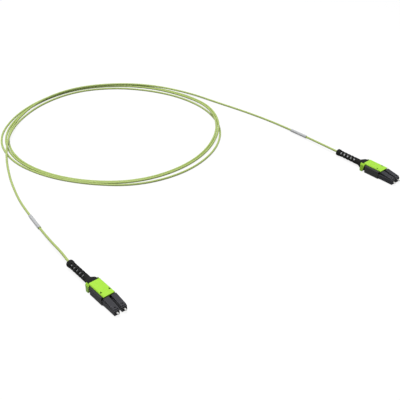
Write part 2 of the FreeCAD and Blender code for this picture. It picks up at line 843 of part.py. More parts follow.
def sleeve(label, middle, along, length, outer, inner):
    """Short straight tube round the cable, about a middle point."""
    foot = middle - along.normalize() * (number(length) / 2)
    prisms = []
    for name, radius in (("outside", outer), ("inside", inner)):
        prism = doc.addObject("Part::Prism", f"{label}_{name}")
        prism.Polygon = SLEEVE_SIDES
        tie(prism, "Circumradius", radius)
        tie(prism, "Height", length)
        prism.Placement = FreeCAD.Placement(foot, FreeCAD.Rotation(FreeCAD.Vector(0, 0, 1), along))
        prisms.append(prism)
    tube = doc.addObject("Part::Cut", label)
    tube.Label = label
    tube.Base, tube.Tool = prisms
    pieces.append(tube)


def loop_points():
    """The cable's turns: points round the loop's middle, set out so that the rounded route has the radius."""
    turns = []
    outset = 1 / math.cos(math.radians(number(d.loop_step)) / 2)
    angle = number(d.loop_start)
    for turn_index, radii in enumerate(TURN_RADII):
        points = []
        for step, radius in enumerate(radii):
            x = number(d.loop_x) + radius * outset * math.cos(math.radians(angle))
            y = number(d.loop_y) + radius * outset * math.sin(math.radians(angle))
            points.append((x, y, TURN_HUMPS.get((turn_index, step), number(d.cable_radius))))
            angle -= number(d.loop_step)
        turns.append(points)
    return turns


def cable():
    """Near lead, three turns and far lead, cut at the middle of a run where one solid meets the next."""
    home = nose_place("near")
    turns = loop_points()
    stretches = [NEAR_LEAD, *turns[:3], turns[3] + FAR_LEAD]
    stretches = [[home + FreeCAD.Vector(*point) for point in stretch] for stretch in stretches]
    names = ["near_lead", "first_turn", "second_turn", "third_turn", "far_lead"]
    for i, (name, points) in enumerate(zip(names, stretches)):
        route = list(points)
        if i > 0:
            route.insert(0, (stretches[i - 1][-1] + points[0]) / 2)
        if i + 1 < len(stretches):
            route.append((points[-1] + stretches[i + 1][0]) / 2)
        cord(f"cable_{name}", route, d.cable_radius)
    near, far = stretches[0], stretches[-1]
    for end, (start, finish) in (("near", near[4:6]), ("far", far[-3:-1])):
        middle, along = (start + finish) / 2, finish - start
        sleeve(f"{end}_marker_sleeve", middle, along, d.marker_length, d.marker_outer, d.marker_inner)


def cable_tail(end):
    """The cable's end inside the boot, from the crimp sleeve to the start of the lead, in a stiff inner sleeve."""
    axis = nose_place(end) + FreeCAD.Vector(0, 0, number(d.cable_height))
    back = [axis - FreeCAD.Vector(number(place), 0, 0) for place in (d.jacket_start, d.cable_start)]
    cord(f"{end}_cable_tail", back, d.cable_radius)
    middle = axis - FreeCAD.Vector(number(d.inner_front + d.inner_back) / 2, 0, 0)
    length = d.inner_back - d.inner_front
    sleeve(f"{end}_inner_sleeve", middle, FreeCAD.Vector(1, 0, 0), length, d.inner_radius, d.inner_bore)


def fibre(end, side):
    """Buffered fibre from the crimp post to one spring pusher."""
    across = SIDES[side] * number(d.ferrule_pitch) / 2
    beside = SIDES[side] * number(d.fibre_spread)
    home = nose_place(end)
    optic, axis = number(d.optic_height), number(d.cable_height)
    points = [
        (-number(d.fibre_front), across, optic),
        (-number(d.fan_front), across, optic),
        (-number(d.fan_back), beside, axis),
        (-number(d.fibre_back), beside, axis),
    ]
    cord(f"{end}_{side}_fibre", [home + FreeCAD.Vector(*point) for point in points], d.fibre_radius, 4)


def build():
    for end in ENDS:
        for side in SIDES:
            plug_frame(end, side)
            latch_arm(end, side)
            ferrule(end, side)
            ferrule_flange(end, side)
            ferrule_spring(end, side)
            spring_pusher(end, side)
            fibre(end, side)
        body_base(end)
        body_lid(end)
        crimp_post(end)
        crimp_sleeve(end)
        slide_cover(end)
        boot(end)
        cable_tail(end)
    cable()
    doc.recompute()


def check():
    """Stops if any object failed or any piece isn't one sound solid."""
    failed = [item.Name for item in doc.Objects if {"Invalid", "Error"} & set(item.State)]
    if failed:
        raise SystemExit(f"failed objects: {failed}")
    for piece in pieces:
        shape = piece.Shape
        if shape.isNull() or not shape.isValid() or len(shape.Solids) != 1:
            raise SystemExit(f"{piece.Label} is not one valid solid")


def write():
    os.makedirs("parts", exist_ok=True)
    for piece in pieces:
        piece.Shape.exportStep(f"parts/{piece.Label}.step")
    print(f"{len(pieces)} pieces written")


build()
check()
write()
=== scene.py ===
import json
import math
import bmesh
import bpy
import numpy as np
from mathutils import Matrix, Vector


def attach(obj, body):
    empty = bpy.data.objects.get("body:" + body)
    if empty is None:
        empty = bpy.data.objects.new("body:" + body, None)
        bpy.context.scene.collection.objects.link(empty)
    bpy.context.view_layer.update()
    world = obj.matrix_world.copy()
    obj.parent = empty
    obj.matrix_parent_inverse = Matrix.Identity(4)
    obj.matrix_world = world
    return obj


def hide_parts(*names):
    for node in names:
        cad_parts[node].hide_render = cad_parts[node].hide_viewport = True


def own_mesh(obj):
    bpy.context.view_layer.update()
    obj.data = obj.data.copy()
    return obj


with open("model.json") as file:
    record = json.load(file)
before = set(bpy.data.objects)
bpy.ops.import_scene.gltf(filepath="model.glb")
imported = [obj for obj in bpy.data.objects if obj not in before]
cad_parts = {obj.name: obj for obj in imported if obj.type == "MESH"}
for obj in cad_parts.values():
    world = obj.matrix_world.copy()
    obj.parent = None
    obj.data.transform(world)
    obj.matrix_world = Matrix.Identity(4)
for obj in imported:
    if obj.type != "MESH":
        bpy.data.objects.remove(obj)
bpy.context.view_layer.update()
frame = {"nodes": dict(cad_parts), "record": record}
nodes = frame["nodes"]

MM = 0.001

# Sizes in millimetres: the nose fronts' middles on the floor, the optical axes and the cable
NEAR_NOSE = np.array([21.28, -140.76, 0.0])
FAR_NOSE = np.array([42.92, 140.76, 0.0])
ENDS = {"near": NEAR_NOSE, "far": FAR_NOSE}
SIDES = {"left": 3.125, "right": -3.125}
OPTIC_HEIGHT = 2.81
CABLE_RADIUS = 1.0
CABLE_HEIGHT = 3.9

# Boot, in millimetres behind the nose front and from the cable's axis
BOOT_FRONT, BLOCK_BACK, HAUNCH_BACK, NECK_BACK, BOOT_BACK = 30.4, 34.6, 36.6, 40.2, 66.2
BLOCK_HALF, HAUNCH_HALF, BLOCK_TOP, BLOCK_LOW = 4.6, 4.0, 4.1, 3.15
NECK_MIDDLE, NECK_HALF, NECK_TOP, NECK_LOW = 38.4, 3.15, 3.6, 3.05
FRONT_ROUND, FRONT_INSET, END_ROUND, WINDOW_SOFT = 0.25, 0.2, 0.7, 0.12
SHAFT_RADIUS, BEAD_RADIUS, BEAD_FRONT = 2.8, 3.15, 63.4
CRIMP_ROOM, CRIMP_ROOM_BACK, CORE_RADIUS, CORE_BACK, BORE_RADIUS = 2.4, 41.5, 2.0, 62.9, 1.6
WINDOW_FIRST, WINDOW_PITCH, WINDOW_LENGTH, WINDOW_COUNT = 45.7, 3.83, 2.1, 5

# Powers of the boot's superellipse, which is nearly square at the block and a circle on the shaft
BLOCK_POWER, HAUNCH_POWER, NECK_POWER, ROUND_POWER = 9, 8, 4, 2

# Extra rings before and behind the boot's edges, and where its shaft swells into the bead
BLOCK_RINGS, HAUNCH_RING, CRIMP_RINGS = (-0.3, 0, 0.5), -0.6, (-0.1, 0.1)
BEAD_RINGS, SWELL_START, SWELL_END = (-0.5, -0.1, 0.15, 0.5), -0.3, 0.35
NECK_RINGS, END_RINGS = 9, 7

# Mesh columns round the boot and across a window, and the eighths of the round that the windows face
BOOT_COLUMNS, WINDOW_COLUMNS = 128, 24
LONG_ROW_EIGHTHS, SHORT_ROW_EIGHTHS = (3, 7), (1, 5)

# Pale sleeves round the cable
INNER_FRONT, INNER_BACK, INNER_OUTER, INNER_BORE, INNER_SOFT = 41.6, 62.6, 1.4, 1.2, 0.06
MARKER_LENGTH, MARKER_OUTER, MARKER_BORE, MARKER_SOFT = 21.0, 1.45, 1.2, 0.1
MARKER_RINGS, MARKER_RING_INSET, MARKER_LOOK_AHEAD = 9, 1.0, 2.0

# Ferrules and their springs, in millimetres behind the nose front and from the optical axis
FERRULE_REACH, FERRULE_RADIUS, SHANK_RADIUS, FERRULE_SEAT, SHANK_BACK = 2.0, 0.625, 0.5, 4.3, 6.8
FIBRE_RADIUS, DOME_SWEEP = 0.0625, 2.5
DOME_RINGS = [0, FIBRE_RADIUS, 0.07, 0.15, 0.25, 0.35, 0.42]
TIP_BEVEL = [(0.07, 0.46), (0.22, 0.58), (0.3, 0.612), (0.4, FERRULE_RADIUS)]
SHANK_STEP = 0.02
SPRING_FRONT, SPRING_BACK, SPRING_RADIUS, SPRING_WIRE, SPRING_TURNS = 7.45, 13.4, 0.92, 0.3, 4

# Mesh columns round the small turned pieces, and rings in one turn of the spring
SLEEVE_COLUMNS, MARKER_COLUMNS, FERRULE_COLUMNS, WIRE_COLUMNS, RINGS_PER_TURN = 48, 40, 64, 12, 24

# Slide cover's trim, in millimetres behind the nose front, from the middle plane and above the floor
RAIL_FRONT, RAIL_BACK = 13.55, 31.2
RAIL_SECTION = [(4.56, 8.16), (4.56, 7.9), (4.795, 7.67), (4.825, 7.69), (4.825, 8.16)]
CAP_FRONT, CAP_BACK = 32.1, 35.25
CAP_SECTION = [(4.67, 7.2), (5.3, 7.2), (5.24, 7.34), (4.92, 7.86), (4.82, 7.95), (4.67, 7.95)]
TRIM_SOFT, TRIM_END_SHARE = 0.08, 0.85

# Meshes: points nearer than this are one, and edges sharper than this many degrees stay crisp
MERGE_DISTANCE, CRISP_ANGLE, BEVEL_ANGLE = 1e-7, 38, 50

# The cable's route in millimetres, measured from the front of the near connector's noses. Round the loop
# it has an angle to start from, an even step in degrees, and a radius for each step, turn by turn.
NEAR_LEAD = [
    (-52, 0, 3.9),
    (-67, 0, 3.9),
    (-80, 1.9, 4.1),
    (-98, 3.1, 3.6),
    (-117, 5.7, 1.8),
    (-147, 9.7, 1.5),
    (-169, 13.4, 1),
    (-191, 19.3, 1),
    (-211.7, 25.9, 1),
    (-240.7, 37.9, 4.4),
]
FAR_LEAD = [
    (-240.7, 261.1, 2.4),
    (-204.7, 270.1, 1),
    (-166.7, 278.3, 1),
    (-125.8, 283.9, 1),
    (-66.36, 281.52, 3.9),
    (-30.36, 281.52, 3.9),
]
LOOP_MIDDLE = (-227.43, 148.96)
LOOP_START = 241.4
LOOP_STEP = 24
TURN_RADII = [
    [100.3, 98.3, 99, 100.8, 98, 95.8, 98.6, 104, 109.2, 111.5, 112.5, 110.7, 103.9, 103.7, 107.5],
    [110, 107.5, 107.5, 109, 106.3, 105.2, 106.3, 107.6, 108, 105.7, 105.6, 105.6, 101.9, 101.5, 104],
    [105.5, 104.2, 105, 106.6, 104.1, 103, 103.7, 105.5, 105.8, 103.5, 103.5, 103.5, 99.9, 99.4, 101.8],
    [102.9, 101.8, 103.5, 105.8, 104, 104.8],
]

# Steps at which the cable lies on another turn, and its height there
HUMP_STEPS = [0, 22, 23, 37, 38, 47, 48, 49, 50]
HUMP_HEIGHTS = [4.4, 4.4, 4.4, 4.4, 4.4, 3.3, 3.5, 3.5, 3.5]


def cable_route():
    """Control points of the cable in metres: the near lead, points at equal angles round the loop's middle,
    each at its radius over the cosine of half a step, and the far lead."""
    radii = np.concatenate(TURN_RADII) / math.cos(math.radians(LOOP_STEP / 2))
    angles = np.radians(LOOP_START - LOOP_STEP * np.arange(len(radii)))
    heights = np.full(len(radii), CABLE_RADIUS)
    heights[HUMP_STEPS] = HUMP_HEIGHTS
    loop = np.stack([
        LOOP_MIDDLE[0] + radii * np.cos(angles),
        LOOP_MIDDLE[1] + radii * np.sin(angles),
        heights,
    ], axis=1)
    return (np.concatenate([NEAR_LEAD, loop, FAR_LEAD]) + NEAR_NOSE) * MM


# Surfaces on a grid

def grid_mesh(name, points, ring=False, openings=()):
    """A mesh of four-sided faces between neighbouring points of a grid of millimetre points. It is closed
    round the second direction, and round the first too where ring is set. An opening is a first and last row
    and a left and right column of the outer wall. Its faces are left out there and in the inner wall's rows,
    which run the other way, and a band of faces joins the two edges."""
    rows, around = points.shape[:2]
    index = np.arange(rows * around).reshape(rows, around)
    ahead = np.roll(index, -1, axis=0)
    faces = np.stack([index, np.roll(index, -1, axis=1), np.roll(ahead, -1, axis=1), ahead], axis=-1)
    kept = np.ones((rows, around), bool)
    kept[-1] = ring
    bands = []
    for first, last, left, right in openings:
        columns = np.arange(left, right) % around
        inner_first, inner_last = rows - 1 - last, rows - 1 - first
        kept[np.ix_(np.arange(first, last), columns)] = False
        kept[np.ix_(np.arange(inner_first, inner_last), columns)] = False
        edge_rows = np.concatenate([
            np.full(right - left, first), np.arange(first, last), np.full(right - left, last),
            np.arange(last, first, -1),
        ])
        edge_columns = np.concatenate([
            np.arange(left, right), np.full(last - first, right), np.arange(right, left, -1),
            np.full(last - first, left),
        ]) % around
        outer = index[edge_rows, edge_columns]
        inner = index[rows - 1 - edge_rows, edge_columns]
        bands.append(np.stack([outer, inner, np.roll(inner, -1), np.roll(outer, -1)], axis=-1))
    faces = np.concatenate([faces[kept], *bands])
    used, compact = np.unique(faces, return_inverse=True)
    mesh = bpy.data.meshes.new(name)
    mesh.from_pydata(points.reshape(-1, 3)[used] * MM, [], compact.reshape(-1, 4).tolist())
    tidy = bmesh.new()
    tidy.from_mesh(mesh)
    bmesh.ops.remove_doubles(tidy, verts=tidy.verts, dist=MERGE_DISTANCE)
    bmesh.ops.recalc_face_normals(tidy, faces=tidy.faces)
    tidy.to_mesh(mesh)
    tidy.free()
    mesh.polygons.foreach_set("use_smooth", np.ones(len(mesh.polygons), bool))
    mesh.set_sharp_from_angle(angle=math.radians(CRISP_ANGLE))
    return mesh


def add_piece(name, mesh, body, slot, *replaced):
    """A finished mesh as an object that rides on a body and stands for CAD nodes."""
    piece = bpy.data.objects.new(name, mesh)
    bpy.context.scene.collection.objects.link(piece)
    mesh.materials.append(FINISHES[slot])
    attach(piece, body)
    if replaced:
        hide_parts(*replaced)
    return piece


def turned_points(stations, radii, axis_point, around):
    """A circle of each radius at each station behind a point, in planes across X."""
    angles = np.linspace(0, 2 * np.pi, around, endpoint=False)
    stations, radii = np.asarray(stations, float)[:, None], np.asarray(radii, float)[:, None]
    flat = np.zeros_like(angles)
    return np.stack([flat - stations, radii * np.cos(angles), radii * np.sin(angles)], axis=-1) + axis_point


def carried_points(path, ahead, beside, radii, around):
    """A circle of each radius round each point of a path, on the plane across its direction: the path's point
    plus the radius times the cosine along a sideways unit vector and the sine along the one square to
    both."""
    ahead = ahead / np.linalg.norm(ahead, axis=1, keepdims=True)
    beside = beside - np.sum(beside * ahead, axis=1, keepdims=True) * ahead
    beside /= np.linalg.norm(beside, axis=1, keepdims=True)
    above = np.cross(ahead, beside)
    angles = np.linspace(0, 2 * np.pi, around, endpoint=False)[None, :, None]
    turned = np.cos(angles) * beside[:, None] + np.sin(angles) * above[:, None]
    return path[:, None] + radii[:, None, None] * turned


def bar_points(section, front, back, place):
    """A convex outline across X carried straight back from front to back: each ring is the outline's middle
    plus a share of its reach, which is nought at the very ends, a little under one there and one between."""
    section = np.asarray(section, float)
    middle = section.mean(axis=0)
    stations = np.array([front, front, front + TRIM_SOFT, back - TRIM_SOFT, back, back])
    shares = np.array([0, TRIM_END_SHARE, 1, 1, TRIM_END_SHARE, 0])
    rings = middle + shares[:, None, None] * (section - middle)
    behind = np.broadcast_to(-stations[:, None, None], (*rings.shape[:2], 1))
    return np.concatenate([behind, rings], axis=-1) + place


def make_cover_trim(end, side):
    """Rail under one long edge of the slide cover, and the rounded top of the cheek behind it."""
    hand = np.sign(SIDES[side])
    for part, section, front, back in (
        ("cover_rail", RAIL_SECTION, RAIL_FRONT, RAIL_BACK),
        ("cheek_cap", CAP_SECTION, CAP_FRONT, CAP_BACK),
    ):
        name = f"{end}_{side}_{part}"
        mesh = grid_mesh(name, bar_points(np.array(section) * (hand, 1), front, back, ENDS[end]))
        add_piece(name, mesh, f"{end}_puller", "lime_plastic")


def boot_points(around):
    """The boot's outer wall from front to back and its inner wall from back to front. The outer wall at a
    polar angle is a superellipse: one over the n-th root of the sum of the n-th powers of cosine over half
    width and sine over height. Width, height and n run from the block to the round shaft, and the bead's end
    is a quarter round. Rings stand close before and behind each edge, so that it stays crisp."""
    edges = np.concatenate([
        WINDOW_FIRST + np.arange(2 * WINDOW_COUNT - 1) * WINDOW_PITCH / 2 + side * WINDOW_LENGTH / 2
        for side in (-1, 1)
    ])
    neck = np.linspace(HAUNCH_BACK, NECK_BACK, NECK_RINGS)
    round_end = np.linspace(0, np.pi / 2, END_RINGS)
    stations = np.concatenate([
        [BOOT_FRONT, BOOT_FRONT + FRONT_ROUND],
        BLOCK_BACK + np.array(BLOCK_RINGS), [HAUNCH_BACK + HAUNCH_RING], neck,
        CRIMP_ROOM_BACK + np.array(CRIMP_RINGS), np.sort(edges),
        BEAD_FRONT + np.array(BEAD_RINGS),
        BOOT_BACK - END_ROUND + END_ROUND * np.sin(round_end),
    ])
    knots = [BOOT_FRONT, BOOT_FRONT + FRONT_ROUND, BLOCK_BACK, HAUNCH_BACK, NECK_MIDDLE, NECK_BACK]
    knots += [BEAD_FRONT + SWELL_START, BEAD_FRONT + SWELL_END, BOOT_BACK]
    tail = [SHAFT_RADIUS, SHAFT_RADIUS, BEAD_RADIUS, BEAD_RADIUS]
    half = [BLOCK_HALF - FRONT_INSET, BLOCK_HALF, BLOCK_HALF, HAUNCH_HALF, NECK_HALF, *tail]
    top = [BLOCK_TOP - FRONT_INSET, BLOCK_TOP, BLOCK_TOP, BLOCK_TOP, NECK_TOP, *tail]
    low = [BLOCK_LOW - FRONT_INSET, BLOCK_LOW, BLOCK_LOW, BLOCK_LOW, NECK_LOW, *tail]
    power = [BLOCK_POWER] * 3 + [HAUNCH_POWER, NECK_POWER] + [ROUND_POWER] * 4
    half, top, low, power = (np.interp(stations, knots, row) for row in (half, top, low, power))
    drop = np.where(stations > BOOT_BACK - END_ROUND, END_ROUND, 0)
    drop *= 1 - np.sqrt(np.clip(1 - ((stations - BOOT_BACK + END_ROUND) / END_ROUND) ** 2, 0, 1))
    angles = np.linspace(0, 2 * np.pi, around, endpoint=False)
    across, rise = np.cos(angles), np.sin(angles)
    height = np.where(rise > 0, top[:, None], low[:, None])
    power = power[:, None]
    spread = np.abs(across / half[:, None]) ** power + np.abs(rise / height) ** power
    outer = spread ** (-1 / power) - drop[:, None]
    hollow = np.where(stations < CORE_BACK, CORE_RADIUS, BORE_RADIUS)
    inner = np.where(stations < CRIMP_ROOM_BACK, CRIMP_ROOM, hollow)[:, None] + 0 * angles
    radii = np.concatenate([outer, inner[::-1]])
    lengths = np.concatenate([stations, stations[::-1]])[:, None] + 0 * angles
    points = np.stack([-lengths, radii * across, radii * rise + CABLE_HEIGHT], axis=-1)
    return points, stations


def soften(piece, width):
    """Rounds a piece's sharp edges by a width in millimetres."""
    bevel = piece.modifiers.new("soft_edges", "BEVEL")
    bevel.width = width * MM
    bevel.segments = 2
    bevel.limit_method = "ANGLE"
    bevel.angle_limit = math.radians(BEVEL_ANGLE)
    bevel.harden_normals = True


def make_boot(end):
    """Strain relief of one connector, with two staggered rows of slanting windows on each side."""
    points, stations = boot_points(BOOT_COLUMNS)
    eighth, reach = BOOT_COLUMNS // 8, WINDOW_COLUMNS // 2
    openings = []
    for row in range(2 * WINDOW_COUNT - 1):
        middle = WINDOW_FIRST + row * WINDOW_PITCH / 2
        first = int(np.argmin(np.abs(stations - middle + WINDOW_LENGTH / 2)))
        last = int(np.argmin(np.abs(stations - middle - WINDOW_LENGTH / 2)))
        for facing in LONG_ROW_EIGHTHS if row % 2 == 0 else SHORT_ROW_EIGHTHS:
            openings.append((first, last, facing * eighth - reach, facing * eighth + reach))
    mesh = grid_mesh(f"{end}_boot_skin", points + ENDS[end], ring=True, openings=openings)
    boot = add_piece(f"{end}_boot_skin", mesh, f"{end}_puller", "boot_plastic", f"{end}_boot")
    soften(boot, WINDOW_SOFT)


def make_inner_sleeve(end):
    """Straight pale tube round the cable inside the boot: a rectangle with softened corners turned about
    the axis."""
    stations = [INNER_FRONT, INNER_FRONT + INNER_SOFT, INNER_BACK - INNER_SOFT, INNER_BACK]
    stations += stations[::-1]
    corner = INNER_OUTER - INNER_SOFT
    radii = [corner, INNER_OUTER, INNER_OUTER, corner] + [INNER_BORE] * 4
    points = turned_points(stations, radii, ENDS[end] + (0, 0, CABLE_HEIGHT), SLEEVE_COLUMNS)
    mesh = grid_mesh(f"{end}_inner_tube", points, ring=True)
    add_piece(f"{end}_inner_tube", mesh, "cord", "marker_plastic", f"{end}_inner_sleeve")


def make_ferrule(end, side):
    """Polished ceramic rod: a shallow domed tip, a bevel, a straight barrel and a thinner shank, turned about
    the optical axis. The dome falls by the square of the radius over twice its sweep, and its middle is the
    fibre's end."""
    dome, bevel = np.array(DOME_RINGS), np.array(TIP_BEVEL)
    stations = np.concatenate([
        -FERRULE_REACH + dome ** 2 / (2 * DOME_SWEEP),
        -FERRULE_REACH + bevel[:, 0],
        [FERRULE_SEAT, FERRULE_SEAT + SHANK_STEP, SHANK_BACK, SHANK_BACK],
    ])
    radii = np.concatenate([dome, bevel[:, 1], [FERRULE_RADIUS, SHANK_RADIUS, SHANK_RADIUS, 0]])
    place = ENDS[end] + (0, SIDES[side], OPTIC_HEIGHT)
    name = f"{end}_{side}_ceramic_rod"
    mesh = grid_mesh(name, turned_points(stations, radii, place, FERRULE_COLUMNS))
    add_piece(name, mesh, f"{end}_{side}_ferrule_set", "ceramic", f"{end}_{side}_ferrule")
    mesh.materials.append(FINISHES["fibre_core"])
    middles = np.zeros(3 * len(mesh.polygons))
    mesh.polygons.foreach_get("center", middles)
    off_axis = np.linalg.norm(middles.reshape(-1, 3)[:, 1:] - place[1:] * MM, axis=1)
    core = off_axis < FIBRE_RADIUS * MM
    mesh.polygons.foreach_set("material_index", core.astype(np.int32))


def make_spring(end, side):
    """Coil of round wire: a circle carried along a helix, whose station grows evenly with the turn."""
    steps = RINGS_PER_TURN * SPRING_TURNS + 1
    turn = np.linspace(0, 2 * np.pi * SPRING_TURNS, steps)
    stations = np.linspace(SPRING_FRONT + SPRING_WIRE / 2, SPRING_BACK - SPRING_WIRE / 2, steps)
    place = ENDS[end] + (0, SIDES[side], OPTIC_HEIGHT)
    outward = np.stack([0 * turn, np.cos(turn), np.sin(turn)], axis=1)
    path = place + SPRING_RADIUS * outward
    path[:, 0] -= stations
    ahead = np.gradient(path, axis=0)
    radii = np.full(steps, SPRING_WIRE / 2)
    points = carried_points(path, ahead, outward, radii, WIRE_COLUMNS)
    tips = np.broadcast_to(path[[0, -1], None], (2, WIRE_COLUMNS, 3))
    mesh = grid_mesh(f"{end}_{side}_coil", np.concatenate([tips[:1], points, tips[1:]]))
    coil = add_piece(f"{end}_{side}_coil", mesh, "cord", "spring_steel", f"{end}_{side}_ferrule_spring")
    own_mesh(coil)


def spline_points(curve):
    """The points of a curve's smooth line, in millimetres, read from a copy with no thickness."""
    bare = curve.copy()
    bare.bevel_depth = 0
    probe = bpy.data.objects.new("bare_line", bare)
    mesh = bpy.data.meshes.new_from_object(probe)
    flat = np.zeros(3 * len(mesh.vertices))
    mesh.vertices.foreach_get("co", flat)
    bpy.data.objects.remove(probe)
    bpy.data.meshes.remove(mesh)
    bpy.data.curves.remove(bare)
    return flat.reshape(-1, 3) / MM


def make_marker(end, line, middle):
    """Pale sleeve on a lead: a ring section with softened corners carried along the cable's line, on planes
    across its direction."""
    run = np.concatenate([[0], np.cumsum(np.linalg.norm(np.diff(line, axis=0), axis=1))])
    centre = run[np.argmin(np.linalg.norm(line - middle, axis=1))]
    half, soft, inset = MARKER_LENGTH / 2, MARKER_SOFT, MARKER_RING_INSET
    rings = np.linspace(-half + inset, half - inset, MARKER_RINGS)
    along = np.concatenate([[-half, -half + soft], rings, [half - soft, half]])
    outer = np.full(len(along), MARKER_OUTER)
    outer[[0, -1]] -= soft
    places = np.concatenate([along, along[::-1]]) + centre
    radii = np.concatenate([outer, np.full(len(along), MARKER_BORE)])
    path, before, after = (
        np.stack([np.interp(places + shift, run, line[:, axis]) for axis in range(3)], axis=1)
        for shift in (0, -MARKER_LOOK_AHEAD, MARKER_LOOK_AHEAD)
    )
    ahead = after - before
    points = carried_points(path, ahead, np.cross((0, 0, 1), ahead), radii, MARKER_COLUMNS)
    mesh = grid_mesh(f"{end}_marker_tube", points, ring=True)
    return add_piece(f"{end}_marker_tube", mesh, "cord", "marker_plastic", f"{end}_marker_sleeve")


# Node helpers

# Sockets of a Mix node that is set to colours
FIRST_COLOUR, SECOND_COLOUR, MIXED_COLOUR = 6, 7, 2

# The middle range of a noise, and the cosine between soft and true normal on a flat and on a corner
NOISE_LOW, NOISE_HIGH = 0.3, 0.7
FLAT_COSINE, CORNER_COSINE = 0.995, 0.8


def add_node(tree, kind, **settings):
    """A node with its sockets and properties set by name."""
    node = tree.nodes.new(kind)
    for name, value in settings.items():
        if name in node.inputs:
            node.inputs[name].default_value = value
        else:
            setattr(node, name, value)
    return node


def new_group(name, inputs, outputs):
    """A shader group with float inputs and named outputs."""
    group = bpy.data.node_groups.new(name, "ShaderNodeTree")
    for label, value in inputs.items():
        socket = group.interface.new_socket(label, in_out="INPUT", socket_type="NodeSocketFloat")
        socket.default_value = value
    for label, kind in outputs.items():
        group.interface.new_socket(label, in_out="OUTPUT", socket_type=kind)
    return group, group.nodes.new("NodeGroupInput"), group.nodes.new("NodeGroupOutput")


def make_grain_group():
    """Fine spark grain, broad flow tone and roughness drift of a moulded surface, from Object coordinates."""
    outputs = {"Tone": "NodeSocketFloat", "Rough": "NodeSocketFloat", "Height": "NodeSocketFloat"}
    inputs = {"Grain Size": 0.1, "Flow Size": 4.0, "Rough Low": 0.3, "Rough High": 0.45}
    group, source, result = new_group("moulded_grain", inputs, outputs)
    link = group.links.new
    place = group.nodes.new("ShaderNodeTexCoord")
    sizes = {}
    for label in ("Grain Size", "Flow Size"):
        sizes[label] = add_node(group, "ShaderNodeMath", operation="DIVIDE")
        sizes[label].inputs[0].default_value = 1 / MM
        link(source.outputs[label], sizes[label].inputs[1])
    grain = add_node(group, "ShaderNodeTexNoise", Detail=3.0, Roughness=0.6)
    flow = add_node(group, "ShaderNodeTexNoise", Detail=2.0, Roughness=0.5)
    link(place.outputs["Object"], grain.inputs["Vector"])
    link(place.outputs["Object"], flow.inputs["Vector"])
    link(sizes["Grain Size"].outputs[0], grain.inputs["Scale"])
    link(sizes["Flow Size"].outputs[0], flow.inputs["Scale"])
    rough = add_node(group, "ShaderNodeMapRange")
    blend = add_node(group, "ShaderNodeMath", operation="ADD")
    half = add_node(group, "ShaderNodeMath", operation="MULTIPLY")
    half.inputs[1].default_value = 0.5
    link(grain.outputs["Fac"], blend.inputs[0])
    link(flow.outputs["Fac"], blend.inputs[1])
    link(blend.outputs[0], half.inputs[0])
    link(half.outputs[0], rough.inputs["Value"])
    rough.inputs["From Min"].default_value = NOISE_LOW
    rough.inputs["From Max"].default_value = NOISE_HIGH
    link(source.outputs["Rough Low"], rough.inputs["To Min"])
    link(source.outputs["Rough High"], rough.inputs["To Max"])
    link(flow.outputs["Fac"], result.inputs["Tone"])
    link(rough.outputs["Result"], result.inputs["Rough"])
    link(grain.outputs["Fac"], result.inputs["Height"])
    return group


def make_edge_group():
    """Softened corner normals, and a mask that is 1 on a corner and 0 on a flat, which places the painted
    corner highlight.
    """
    outputs = {"Edge": "NodeSocketFloat", "Normal": "NodeSocketVector"}
    group, source, result = new_group("soft_corners", {"Radius": 0.1}, outputs)
    link = group.links.new
    metres = add_node(group, "ShaderNodeMath", operation="MULTIPLY")
    metres.inputs[1].default_value = MM
    bevel = add_node(group, "ShaderNodeBevel", samples=4)
    facing = group.nodes.new("ShaderNodeNewGeometry")
    dot = add_node(group, "ShaderNodeVectorMath", operation="DOT_PRODUCT")
    mask = add_node(group, "ShaderNodeMapRange")
    mask.inputs["From Min"].default_value = FLAT_COSINE
    mask.inputs["From Max"].default_value = CORNER_COSINE
    link(source.outputs["Radius"], metres.inputs[0])
    link(metres.outputs[0], bevel.inputs["Radius"])
    link(bevel.outputs["Normal"], dot.inputs[0])
    link(facing.outputs["True Normal"], dot.inputs[1])
    link(dot.outputs["Value"], mask.inputs["Value"])
    link(mask.outputs["Result"], result.inputs["Edge"])
    link(bevel.outputs["Normal"], result.inputs["Normal"])
    return group


GRAIN = make_grain_group()
CORNERS = make_edge_group()


def moulded(name, dark, light, edge, rough, grain, depth, corner, shine=0.5):
    """A moulded surface: two tones in a flow pattern, corners painted paler in the edge colour as a painted
    highlight, and grain in gloss and relief. The grain's size and depth and the corners' radius are in
    millimetres."""
    material = bpy.data.materials.new(name)
    material.use_nodes = True
    tree = material.node_tree
    link = tree.links.new
    surface = tree.nodes["Principled BSDF"]
    surface.inputs["Specular IOR Level"].default_value = shine
    texture = add_node(tree, "ShaderNodeGroup", node_tree=GRAIN)
    texture.inputs["Grain Size"].default_value = grain
    texture.inputs["Rough Low"].default_value = rough[0]
    texture.inputs["Rough High"].default_value = rough[1]
    corners = add_node(tree, "ShaderNodeGroup", node_tree=CORNERS)
    corners.inputs["Radius"].default_value = corner
    tone = add_node(tree, "ShaderNodeMix", data_type="RGBA")
    tone.inputs[FIRST_COLOUR].default_value = (*dark, 1)
    tone.inputs[SECOND_COLOUR].default_value = (*light, 1)
    # Painted highlight: the edge colour is mixed over the tones where the corner mask is high, so corners
    # read paler
    corner_highlight = add_node(tree, "ShaderNodeMix", data_type="RGBA")
    corner_highlight.inputs[SECOND_COLOUR].default_value = (*edge, 1)
    bump = add_node(tree, "ShaderNodeBump", Strength=0.35, Distance=depth * MM)
    link(texture.outputs["Tone"], tone.inputs[0])
    link(tone.outputs[MIXED_COLOUR], corner_highlight.inputs[FIRST_COLOUR])
    link(corners.outputs["Edge"], corner_highlight.inputs[0])
    link(corner_highlight.outputs[MIXED_COLOUR], surface.inputs["Base Color"])
    link(texture.outputs["Rough"], surface.inputs["Roughness"])
    link(texture.outputs["Height"], bump.inputs["Height"])
    link(corners.outputs["Normal"], bump.inputs["Normal"])
    link(bump.outputs["Normal"], surface.inputs["Normal"])
    return material


